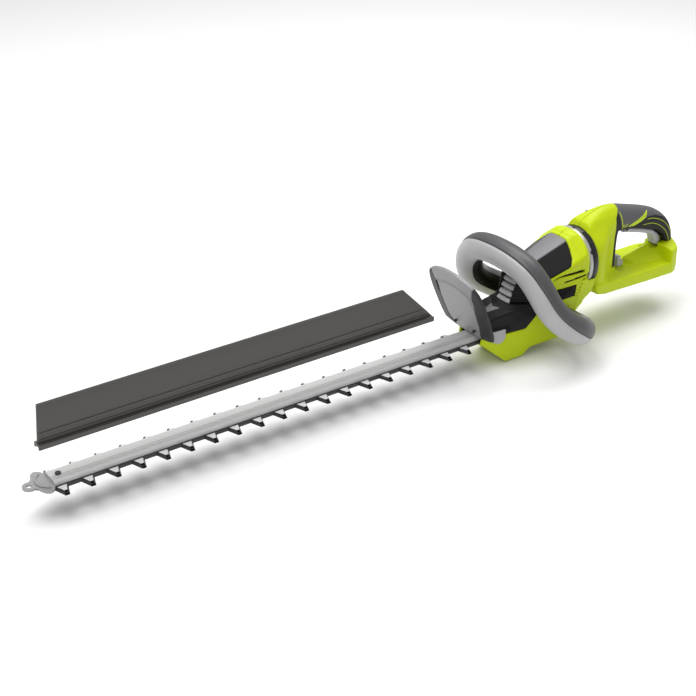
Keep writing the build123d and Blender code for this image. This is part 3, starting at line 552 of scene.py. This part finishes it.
def build_nose():
    def flank(x, y, z):
        form = smax(house(x, y, z) + 0.3, outline(x, z, NOSE) + GAP, 0.8)
        column = np.maximum(np.abs(y) - 13.4, x - lean(z) - 9)
        for level in (85, 89.5, 94, 98.5, 103, 107.5, 112):
            rib = np.maximum(np.abs(z - level) - 0.8, 14.5 - np.abs(y))
            form = smax(form, -np.maximum(rib, -(house(x, y, z) + 1.2)), 0.5)
        return smax(smax(form, -column, 0.8), -(house(x, y, z) + 3.6), 0.4)
    moulding("nose_flanks", flank, (-2, -40, 79), (50, 40, 121), 0.95, DARK, "front_body",
             ["nose_louvres"])

    # Painted shade: a black sheet behind the slats that stands in for the shade in the gaps between them.
    def back(x, y, z):
        sheet = np.maximum(np.abs(x - lean(z) - 9.5) - 1.5, np.abs(y) - 13.6)
        return np.maximum(sheet, np.abs(z - 98.5) - 18.8)
    moulding("nose_painted_shade_back", back, (4, -16, 78), (32, 16, 119), 0.9, BLACK, "front_body",
             ["nose_louvres"])
    for n, (level, half) in enumerate(((82.0, 2.7), (90.4, 2.9), (99.2, 2.9), (107.8, 2.9), (115.6, 2.3))):
        def slat(x, y, z, level=level, half=half):
            front = lean(z) - 0.2 + 0.5 * np.abs(z - level) + 0.006 * y ** 2 - x
            form = smax(front, np.abs(z - level - 0.25 * (x - lean(z))) - half, 1.4)
            return smax(smax(form, x - lean(z) - 9.5, 0.4), np.abs(y) - 13.2, 1.2)
        moulding(f"nose_slat_{n + 1}", slat, (0, -15, level - 5), (32, 15, level + 6), 0.7, LIGHT_GREY,
                 "front_body", ["nose_louvres"])


# ------------------------------------------------------------------ front guard
GUARD_FOOT = np.array((-56.0, 0.0, 59.6))
LEAN = math.radians(22)


def guard_coords(x, y, z):
    """Across, up and out of the guard's plane, out being towards the operator."""
    dx, dz = x - GUARD_FOOT[0], z - GUARD_FOOT[2]
    return y, -math.sin(LEAN) * dx + math.cos(LEAN) * dz, math.cos(LEAN) * dx + math.sin(LEAN) * dz


GUARD_HALF = [(0, 96.5), (14, 95.8), (30, 91.8), (42, 86.5), (50, 79), (54, 68), (56, 50), (55.5, 30),
              (53.5, 8), (50.5, -6), (40, -9.5), (20, -12.5), (0, -13.5)]


def guard_outline():
    half = np.vstack([smooth_run(GUARD_HALF[:10], 5), GUARD_HALF[10:]])
    return np.vstack([half, half[::-1][1:-1] * [-1, 1]])


def build_guard():
    shape = guard_outline()

    def guard(x, y, z):
        u, v, w = guard_coords(x, y, z)
        inside = -outline(u, v, shape)
        front = ramp(inside, [0, 18, 40], [-0.9, -3.7, -4.1])
        front = front + ramp(inside, [15.5, 17, 20.5, 22], [0, 1.5, 1.5, 0]) * ramp(v, [44, 56], [0, 1])
        plate = smax(np.maximum(front - w, w - front - 3.0), -inside, 1.0)
        lip = smax(np.maximum(-0.9 - w, w - 4.0), np.maximum(-inside, inside - 2.4), 0.8)
        body = smin(plate, lip, 1.0)
        return smax(body, -ball_box(x, y, z, (-70, 0, 38.5), (40, 14.2, 8.4), 0.8), 0.6)

    # The side bands of the guard, which get painted shade.
    def painted_shade_band(x, y, z):
        u, v, w = guard_coords(x, y, z)
        return 0.62 * (ramp(v, [-6, 14, 66, 84, 96], [26, 34, 37.5, 43, 54]) - np.abs(u))
    moulding("front_guard_shield", lambda x, y, z: np.maximum(guard(x, y, z), -painted_shade_band(x, y, z)),
             (-104, -58, 40), (-44, 58, 153), 0.95, GUARD_GREY, "front_body",
             ["front_guard"])
    # Side bands in painted shade.
    moulding("front_guard_painted_shade_bands", lambda x, y, z: np.maximum(guard(x, y, z), painted_shade_band(x, y, z) + 0.05),
             (-104, -58, 40), (-44, 58, 153), 0.95, GUARD_PAINTED_SHADE, "front_body", ["front_guard"])

    def lug(x, y, z):
        side = outline(x, z, [(-37, 54), (-15, 54), (-15, 42), (-19, 36.5), (-25.7, 34.5), (-33, 37),
                              (-37, 42)])
        return smax(side, np.abs(np.abs(y) - ramp(x, [-60, -10, 20], [26.9, 31.8, 35.4])) - 1.7, 1.0)
    moulding("guard_lug_tabs", lug, (-40, -38, 32), (-12, 38, 57), 0.8, LIGHT_GREY, "front_body",
             ["guard_lugs"])


# ------------------------------------------------------------------ front handle
BAIL = [(-3, 0, 154.5), (-3, 35, 152), (0, 58, 142.5), (5, 76, 122), (13, 85, 101), (24, 92.5, 84.5),
        (42, 98, 69), (60, 97, 57.5), (76, 87, 49), (87, 66, 42), (91, 36, 38)]
BAIL_WIDE, BAIL_DEEP = 19.8, 18.8
LIT_SIDE = np.array((-0.75, 0.0, -0.66))
LOOP_MIDDLE = np.array((26.0, 0.0, 96.0))


def bail_line():
    """The bar's middle line: the corners of its route cut over and over, and held at both ends."""
    half = np.array(BAIL, float)
    route = np.vstack([half[::-1] * [1, -1, 1], half[1:]])
    for _ in range(4):
        a, b = route[:-1], route[1:]
        cut = np.stack([0.75 * a + 0.25 * b, 0.25 * a + 0.75 * b], 1).reshape(-1, 3)
        route = np.vstack([route[:1], cut, route[-1:]])
    return route


def tube_frames(line, up):
    tangent = np.gradient(line, axis=0)
    tangent /= np.linalg.norm(tangent, axis=1)[:, None]
    side = up - np.sum(tangent * up, axis=1)[:, None] * tangent
    side /= np.linalg.norm(side, axis=1)[:, None]
    return tangent, side, np.cross(tangent, side)


def strip_shell(name, line, up, profile, material, body, replaces=()):
    """A closed bar along a line; its profile's points are measured towards up and aside."""
    tangent, side, across = tube_frames(line, np.broadcast_to(up, line.shape))
    profile = np.asarray(profile, float)
    rings, count = len(line), len(profile)
    points = (line[:, None, :] + profile[None, :, :1] * side[:, None, :]
              + profile[None, :, 1:] * across[:, None, :]).reshape(-1, 3)
    faces = []
    for i in range(rings - 1):
        for j in range(count):
            k = (j + 1) % count
            faces.append((i * count + j, i * count + k, (i + 1) * count + k, (i + 1) * count + j))
    ends = [tuple(range(count))[::-1], tuple(range((rings - 1) * count, rings * count))]
    return mesh_object(name, points, np.array(faces + ends, dtype=object), material, body, replaces)


def oval_arc(wide, deep, start, end, steps):
    turns = np.linspace(start, end, steps)
    return np.stack([wide * np.cos(turns), deep * np.sin(turns)], 1)


def shell_profile(wide, deep, start, end, wall):
    """Outer and inner arcs of a part of the tube, with its edges turned in to leave a seam."""
    outer = oval_arc(wide, deep, start, end, 40)
    inner = oval_arc(wide - wall, deep - wall, end, start, 24)
    first, last = [outer[0] * 0.955, outer[1] * 0.992], [outer[-2] * 0.992, outer[-1] * 0.955]
    return np.vstack(first + [outer[2:-2]] + last + [inner])


def build_bail():
    line = bail_line()
    limit = math.radians(86)
    light = shell_profile(BAIL_WIDE, BAIL_DEEP, -limit, limit, 2.6)
    dark = shell_profile(BAIL_WIDE, BAIL_DEEP, limit + 0.03, 2 * math.pi - limit - 0.03, 2.6)
    strip_shell("bail_light_shell", line, LIT_SIDE, light, LIGHT_GREY, "front_body",
                ["bail_front_shell"])
    strip_shell("bail_dark_shell", line, LIT_SIDE, dark, HANDLE_DARK, "front_body",
                ["bail_rear_shell"])
    core = oval_arc(BAIL_WIDE - 1.5, BAIL_DEEP - 1.5, 0, 2 * math.pi * 47 / 48, 48)
    strip_shell("bail_core", line[3:-3], LIT_SIDE, core, BLACK, "front_body")
    inward = LOOP_MIDDLE - line
    for side in (-1, 1):
        run = line[:, 1] * side > 44
        arm, towards = line[run], inward[run]
        turn = math.radians(38)
        lining = np.vstack([oval_arc(BAIL_WIDE - 1.2, BAIL_DEEP - 1.2, -turn, turn, 21),
                            oval_arc(BAIL_WIDE + 0.15, BAIL_DEEP + 0.5, turn * 0.94, -turn * 0.94, 21)])[::-1]
        strip_shell(f"bail_grip_lining_{'far' if side > 0 else 'near'}", arm, towards, lining, BLACK,
                    "front_body")


# ------------------------------------------------------------------ rear handle
REAR_TOP = smooth_run([(139, 162.4), (146, 167.5), (157, 172.6), (172, 176.8), (186, 179.4), (198, 178.6),
                       (215, 174.2), (231, 169.7), (250, 164.6), (272, 157.6), (289, 149.4), (304, 139),
                       (314, 127.6), (320.5, 114), (323.4, 100)], 4)
REAR_BOTTOM = [(325.8, 98.6), (325.8, 64), (319, 57), (250, 58), (165, 60.5), (150, 65), (139, 76)]
HAND_HOLE = [(203, 77), (201.5, 88), (200.2, 104), (200.2, 120), (201.4, 133), (203.4, 140.4), (212, 140.6),
             (228, 137.8), (258, 130), (284, 121), (297, 111), (303, 96.5), (291, 95.5), (243, 87), (239, 77)]
NECK_PLAN = ([139, 158, 180, 200, 318, 328], [45.4, 38.4, 25.4, 17.8, 16.8, 12])
NECK_FRONT = ([50, 77, 100, 119, 130, 140, 150, 159, 167.5, 175.5, 181.5],
              [40, 42, 44.9, 44.9, 41.2, 34.8, 27.3, 21.3, 16.2, 10, 2.6])
BASE_PLAN = [(139, 40), (297, 40), (306, 37), (312, 32), (319, 22), (325.8, 7), (325.8, -7), (319, -22),
             (312, -32), (306, -37), (297, -40), (139, -40)]


def rear_silhouette(x, z):
    return outline(x, z, np.vstack([REAR_TOP, REAR_BOTTOM]))


def upper_rear(x, y, z):
    """Neck, upright column and grip."""
    aside = np.abs(y)
    ring = np.sqrt(y ** 2 + (z - SWIVEL_Z) ** 2) - (46.0 + 2.4 * np.maximum(x - 139.5, 0))
    plan = (aside - ramp(x, *NECK_PLAN)) * 0.86
    tent = (aside - ramp(z, *NECK_FRONT)) * 0.8
    body = smax(smax(rear_silhouette(x, z) - 0.35, plan, 19), tent, 7)
    return smax(body, ring, 3)


def rear_form(x, y, z):
    aside = np.abs(y)
    hole = rounded(x, z, HAND_HOLE, 1.5)
    upper = smax(smax(upper_rear(x, y, z), -hole, 5), 66 - z, 2)
    upper = smax(upper, -outline(x, z, [(203, 50), (203, 108), (293, 97.6), (293, 50)]), 2)
    footing = outline(x, y, BASE_PLAN)
    base = smax(smax(footing, z - 77, 3), rear_silhouette(x, z), 4.5)
    base = smax(base, 140.5 - x, 6)
    roof = (z + 0.78 * aside - ramp(x, [236, 290, 300], [87, 97, 98])) * 0.79
    wedge = (aside - 4 - 1.05 * (x - 237)) * 0.69
    block = smax(smax(roof, wedge, 1.5), smax(footing + 4, 66 - z, 1), 1.5)
    block = smax(block, x - 296, 1)
    post = smax(smax(footing, z + 0.09 * aside - 99.4, 5), 292.5 - x, 1.0)
    post = smax(smax(post, rear_silhouette(x, z), 3), 66 - z, 1)
    post = smax(post, (z + 0.66 * np.maximum(y, 0) - 99) * 0.83, 2)
    return smin(smin(upper, base, 9), smin(block, post, 1.0), 1.4)


GRIP = [(206, 200), (204, 172), (195, 162), (191, 134), (190, 104), (190, 88), (218, 86), (222, 99),
        (340, 99), (340, 200)]


def grip_region(x, z):
    return outline(x, z, GRIP)


SLEEVE_BORE, BORE_END = 34.4, 152  # the swivel sleeve's hole in the neck, and where it ends


def rear_green(x, y, z):
    body = rear_form(x, y, z)
    body = smax(body, -(grip_region(x, z) - 0.25), 0.6)
    bore = np.sqrt(y ** 2 + (z - SWIVEL_Z) ** 2) - SLEEVE_BORE + 40 * (x > BORE_END)
    body = smax(body, -bore, 0.5)
    return smax(body, -ball_box(x, y, z, (262, 0, 55), (30, 24, 18), 1.2), 0.8)


def slot_for_trigger(x, y, z):
    path = outline(x, z, [(221, 128), (258, 121), (278, 112), (284, 90), (309, 90), (307, 108), (303, 120),
                          (288, 130), (258, 138), (224, 141)])
    return np.maximum(path, np.abs(y) - 8.8)


def build_rear():
    def green(x, y, z):
        shell = smax(rear_green(x, y, z), -slot_for_trigger(x, y, z), 0.6)
        bay_wall = ball_box(x, y, z, (262, 0, 66), (34, 28, 10.5), 1)
        room = np.maximum(rear_form(x, y, z) + 4.5, -np.maximum(bay_wall, 0))
        return smax(shell, -room, 0.5)
    low, high = (136, -50, 56), (332, 2, 184)
    moulding("rear_housing_left", left_of_seam(green), low, high, 1.1, GREEN, "rear_handle",
             ["left_rear_housing"])
    moulding("rear_housing_right", right_of_seam(green), (136, -2, 56), (332, 50, 184), 1.1, GREEN,
             "rear_handle", ["right_rear_housing"])

    def grip(x, y, z):
        body = smax(rear_form(x, y, z), grip_region(x, z) + 0.25, 0.8)
        body = smax(body, -slot_for_trigger(x, y, z), 0.6)
        return smax(body, -(rear_form(x, y, z) + 5.0), 0.5)

    def palm(x, y, z):
        """The lighter top of the grip."""
        return outline(x, z, PALM)

    def grip_side(x, y, z):
        return smax(grip(x, y, z), -(palm(x, y, z) - 0.15), 0.4)

    def grip_palm(x, y, z):
        return smax(smax(grip(x, y, z), palm(x, y, z) + 0.15, 0.4), -(rear_form(x, y, z) + 3.5), 0.3)
    moulding("grip_side_rubber", grip_side, (186, -24, 76), (336, 24, 184), 0.95, RUBBER, "rear_handle",
             ["grip_overmould"])
    moulding("grip_palm_rubber", grip_palm, (186, -24, 90), (336, 24, 184), 0.95, RUBBER_LIGHT, "rear_handle",
             ["grip_overmould"])

    def trim(x, y, z):
        bands = [outline(x, z, band) for band in (SWOOSH, TICK_A, TICK_B, NECK_LINE)]
        shape = np.minimum(np.minimum(bands[0], bands[1]), np.minimum(bands[2], bands[3]))
        form = rear_form(x, y, z)
        return np.maximum(np.maximum(shape, form - 0.35), np.maximum(-(form + 0.9), 4 - np.abs(y)))
    moulding("grip_green_trim", trim, (196, -22, 100), (332, 22, 184), 0.55, GREEN_TRIM, "rear_handle")
    lines = tube_on_grip(PIPING_OUTER) + tube_on_grip(PIPING_INNER)
    build_piping(lines)


PALM = [(199, 200), (201, 168), (206, 146), (226, 141), (246, 145), (262, 149), (276, 147), (296, 139),
        (309, 128), (318, 114), (322, 98), (344, 98), (344, 200)]
SWOOSH = [(218, 144), (228, 147), (240, 150.6), (251, 154.4), (261, 158), (255, 150), (245, 145.4),
          (232, 142.4)]
TICK_A = [(213.5, 143.5), (219, 149), (217, 149.4), (211.5, 143.6)]
TICK_B = [(208.5, 143.8), (212.5, 148.5), (210.5, 149), (206.5, 143.9)]
NECK_LINE = [(203.4, 169), (204.6, 169), (207.2, 158), (208.8, 148), (207.4, 148), (205.6, 158)]
PIPING_OUTER = [(258, 146), (272, 144), (290, 136), (303, 125), (312, 112), (316, 101)]
PIPING_INNER = [(250, 139), (268, 137.5), (284, 130.5), (297, 120), (305, 108), (307, 100.5)]
PIPING_R = 0.45


def tube_on_grip(points):
    """Points of a raised line on both flanks of the grip, given in side view."""
    path = smooth_run(points, 10)
    flanks = []
    for side in (-1, 1):
        y = np.full(len(path), 20.0 * side)
        p = np.stack([path[:, 0], y, path[:, 1]], 1)
        for _ in range(12):
            p[:, 1] -= side * rear_form(p[:, 0], p[:, 1], p[:, 2]) * 0.8
        flanks.append(p)
    return flanks


def build_piping(lines):
    for n, line in enumerate(lines):
        ring = oval_arc(PIPING_R, PIPING_R, 0, 2 * math.pi * 7 / 8, 8)
        strip_shell(f"grip_piping_{n + 1}", line, np.array((0.0, 1.0, 0.0)), ring, GREEN_TRIM, "rear_handle")


TRIGGER = [(223.2, 129.6), (240, 125.6), (257, 121.0), (270, 116.8), (278.5, 112.8), (284.4, 107.2),
           (286.6, 100.8), (289.0, 95.4), (294, 92.8), (299.4, 94.6), (300.4, 101), (297, 109.6),
           (284, 119.8), (257.4, 129.2), (226, 136.5)]
TRIGGER_HALF = 8.0


def build_trigger():
    def trigger(x, y, z):
        side = outline(x, z, TRIGGER)
        return smax(side, np.abs(y) - TRIGGER_HALF, 4.5)
    moulding("rear_trigger_paddle", trigger, (218, -11, 88), (304, 11, 142), 0.8, PALE_GREY, "rear_trigger",
             ["rear_trigger"])


# ------------------------------------------------------------------ blades
PITCH, TEETH, FIRST_TOOTH = 33.0, 19, -670.0
BLADE_HALF = 15.5
BLADE_START, BACK_START, BLADE_TAIL = -680.0, -20.0, 62.0  # tip end, end of the toothed part, crank end
BLUNT = 2.4  # slope of a tooth's end, along its length
BOLTS = [-640.0, -530.0, -420.0, -310.0, -200.0, -92.0]
SLOT = (12.3, 2.9)  # half length and half width of a bolt's slot
CRANK_WINDOW = (5.0, 55.0, 15.2)  # from, to and half width


def blade_mesh(low, high, reach, base, tip, bevel):
    """Points, faces and finishes (0 tooth tops, 1 flanks and strip, 2 blunt ends) of a slotted blade; the
    flanks, strip and blunt ends carry painted shade.
    """
    points, faces, finish = [], [], []

    def add(p, q, r, *more, paint=1):
        first = len(points)
        points.extend((p, q, r) + more)
        faces.append(tuple(range(first, len(points))))
        finish.append(paint)
    for side in (-1, 1):
        for n in range(TEETH + 1):
            x0 = BLADE_START if n == 0 else FIRST_TOOTH + (n - 1) * PITCH + base / 2
            x1 = FIRST_TOOTH + n * PITCH - base / 2 if n < TEETH else BACK_START
            if n < TEETH and x1 < x0:
                x1 = x0
            top0 = x0 - (bevel if n else 0)
            top1 = x1 + (bevel if n < TEETH else 0)
            edge = BLADE_HALF * side
            ring = [(x0, edge, low), (x1, edge, low), (top1, edge, high), (top0, edge, high)]
            add(*(ring if side < 0 else ring[::-1]), paint=1)
        for n in range(TEETH):
            x = FIRST_TOOTH + n * PITCH
            edge, out = BLADE_HALF * side, reach * side
            lower = [(x - base / 2, edge, low), (x + base / 2, edge, low),
                     (x + tip / 2, out, low), (x - tip / 2, out, low)]
            upper = [(x - base / 2 + bevel, edge, high), (x + base / 2 - bevel, edge, high),
                     (x + tip / 2 - 0.35 * bevel, out - BLUNT * side, high),
                     (x - tip / 2 + 0.35 * bevel, out - BLUNT * side, high)]
            add(*(upper if side > 0 else upper[::-1]), paint=0)
            add(*(lower[::-1] if side > 0 else lower), paint=1)
            for a, b, paint in ((1, 2, 1), (2, 3, 2), (3, 0, 1)):
                wall = [lower[a], lower[b], upper[b], upper[a]]
                add(*(wall if side > 0 else wall[::-1]), paint=paint)
    cuts = sorted([(x - SLOT[0], x + SLOT[0], SLOT[1]) for x in BOLTS] + [CRANK_WINDOW])
    for z, up in ((low, False), (high, True)):
        place = BLADE_START
        for a, b, half in cuts + [(BLADE_TAIL, BLADE_TAIL, 0)]:
            spans = [(place, a, -BLADE_HALF, BLADE_HALF)]
            if b > a:
                spans += [(a, b, half, BLADE_HALF), (a, b, -BLADE_HALF, -half)]
            for x0, x1, y0, y1 in spans:
                quad = [(x0, y0, z), (x1, y0, z), (x1, y1, z), (x0, y1, z)]
                add(*(quad if up else quad[::-1]), paint=1)
            place = b
    for a, b, half in cuts:
        rim = [(a, -half), (b, -half), (b, half), (a, half)]
        for p, q in zip(rim, rim[1:] + rim[:1]):
            add((q[0], q[1], low), (p[0], p[1], low), (p[0], p[1], high), (q[0], q[1], high), paint=1)
    for x, turn in ((BLADE_START, 1), (BLADE_TAIL, -1)):
        wall = [(x, BLADE_HALF * turn, low), (x, -BLADE_HALF * turn, low), (x, -BLADE_HALF * turn, high),
                (x, BLADE_HALF * turn, high)]
        add(*wall, paint=1)
    for side in (-1, 1):
        wall = [(BACK_START, BLADE_HALF * side, low), (BLADE_TAIL, BLADE_HALF * side, low),
                (BLADE_TAIL, BLADE_HALF * side, high), (BACK_START, BLADE_HALF * side, high)]
        add(*(wall if side < 0 else wall[::-1]), paint=1)
    faces = np.array(faces + [()], dtype=object)[:-1]
    return points, faces, finish


def build_blades():
    for name, low, high, reach, base, tip, bevel, face in (
            ("upper_blade", 36.9, 38.9, 28.6, 15.0, 5.0, 1.5, STEEL),
            # The lower blade is the same steel as the upper; its darker finish is painted shade.
            ("lower_blade", 34.6, 36.6, 31.4, 17.0, 5.6, 0.7, LOWER_STEEL_PAINTED_SHADE)):
        points, faces, finish = blade_mesh(low, high, reach, base, tip, bevel)
        # Tooth tops in lit steel; flanks and strip in painted shade; blunt tooth ends in black, also painted
        # shade.
        mesh_object(name + "_ground", np.array(points), faces, [face, STEEL_PAINTED_SHADE, BLACK], name,
                    [name], smooth=False, finish=finish)


# ------------------------------------------------------------------ collar rings
RING_BORE = 34.1


def lathe_ring(name, stations, bore, material, body, replaces, relief):
    """A ring about the swivel axis from (along, radius) stations, less a relief given by angle."""
    turns = np.linspace(0, 2 * math.pi, 720, endpoint=False)
    loops = []
    for x, radius in stations:
        r = radius - relief(turns, x) if radius > bore + 0.2 else np.full_like(turns, radius)
        loops.append(np.stack([np.full_like(turns, x), r * np.cos(turns), SWIVEL_Z + r * np.sin(turns)], 1))
    points = np.vstack(loops)
    count, rings = len(turns), len(stations)
    faces = []
    for i in range(rings):
        j = (i + 1) % rings
        for k in range(count):
            m = (k + 1) % count
            faces.append((i * count + k, i * count + m, j * count + m, j * count + k))
    return mesh_object(name, points, np.array(faces), material, body, replaces)


def build_rings():
    def notches(turns, x):
        near = np.abs((np.degrees(turns) % 60) - 32) < 3.4
        return np.where(near & (x > 125.4), 1.6, 0.0)

    def ribs(turns, x):
        angle = np.degrees(turns) % 90
        grouped = (angle > 20) & (angle < 44)
        wave = 0.5 + 0.5 * np.cos(120 * turns)
        return np.where(grouped & (129.9 < x) & (x < 139.4), 1.1 * wave, 0.0)
    lathe_ring("collar_silver_ring",
               [(123.0, RING_BORE), (123.0, 45.2), (123.5, 45.8), (125.3, 45.9), (125.5, 45.9),
                (128.4, 45.9), (128.9, 45.4), (128.9, RING_BORE)],
               RING_BORE, SILVER, "front_body", ["swivel_collar"], notches)
    lathe_ring("collar_black_ring",
               [(129.4, RING_BORE), (129.4, 43.6), (129.8, 44.4), (130.2, 44.9), (134.5, 44.9),
                (139.0, 44.9), (139.6, 44.4), (139.9, 43.4), (139.9, RING_BORE)],
               RING_BORE, GLOSS_BLACK, "rear_handle", ["knurled_ring"], ribs)


# ------------------------------------------------------------------ finishes of the carried-over CAD pieces
CAD_FINISH = {
    "blade_guide_rail": RAIL, "blade_bolts": RAIL, "tip_protector": CAST, "tip_screw": BLACKENED,
    "guard_screws": BLACKENED, "gear_case_base": CASE,
    "gear_case_cover": CASE, "gear_case_screws": MACHINED, "crank_bearings": MACHINED, "crank_gear": MACHINED,
    "crank_shaft": MACHINED, "motor_can": MACHINED, "motor_magnets": LAMINATED, "motor_end_cap": DARK,
    "motor_brushes": COPPER, "motor_bearings": MACHINED, "rotor_core": LAMINATED, "commutator": COPPER,
    "motor_shaft": MACHINED, "pinion_gear": MACHINED, "cooling_fan": DARK, "badge_plate": BLACK,
    "motor_housing_screws": BLACKENED, "swivel_sleeve": DARK, "front_microswitch": DARK,
    "motor_leads": RED, "trigger_pin": MACHINED, "rear_switch": DARK, "terminal_block": DARK,
    "terminal_contacts": COPPER, "rear_housing_screws": BLACKENED, "switch_leads": RED,
    "swivel_lock": PALE_GREY, "front_switch_bar": DARK, "sweep_plate": SWEEP, "sweep_clip": SWEEP,
}


def finish_cad_nodes():
    for name, material in CAD_FINISH.items():
        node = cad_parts[name]
        node.data.materials.clear()
        node.data.materials.append(material)


build_house()
build_gear_cover()
build_nose()
build_guard()
build_bail()
build_rear()
build_trigger()
build_blades()
build_rings()
finish_cad_nodes()
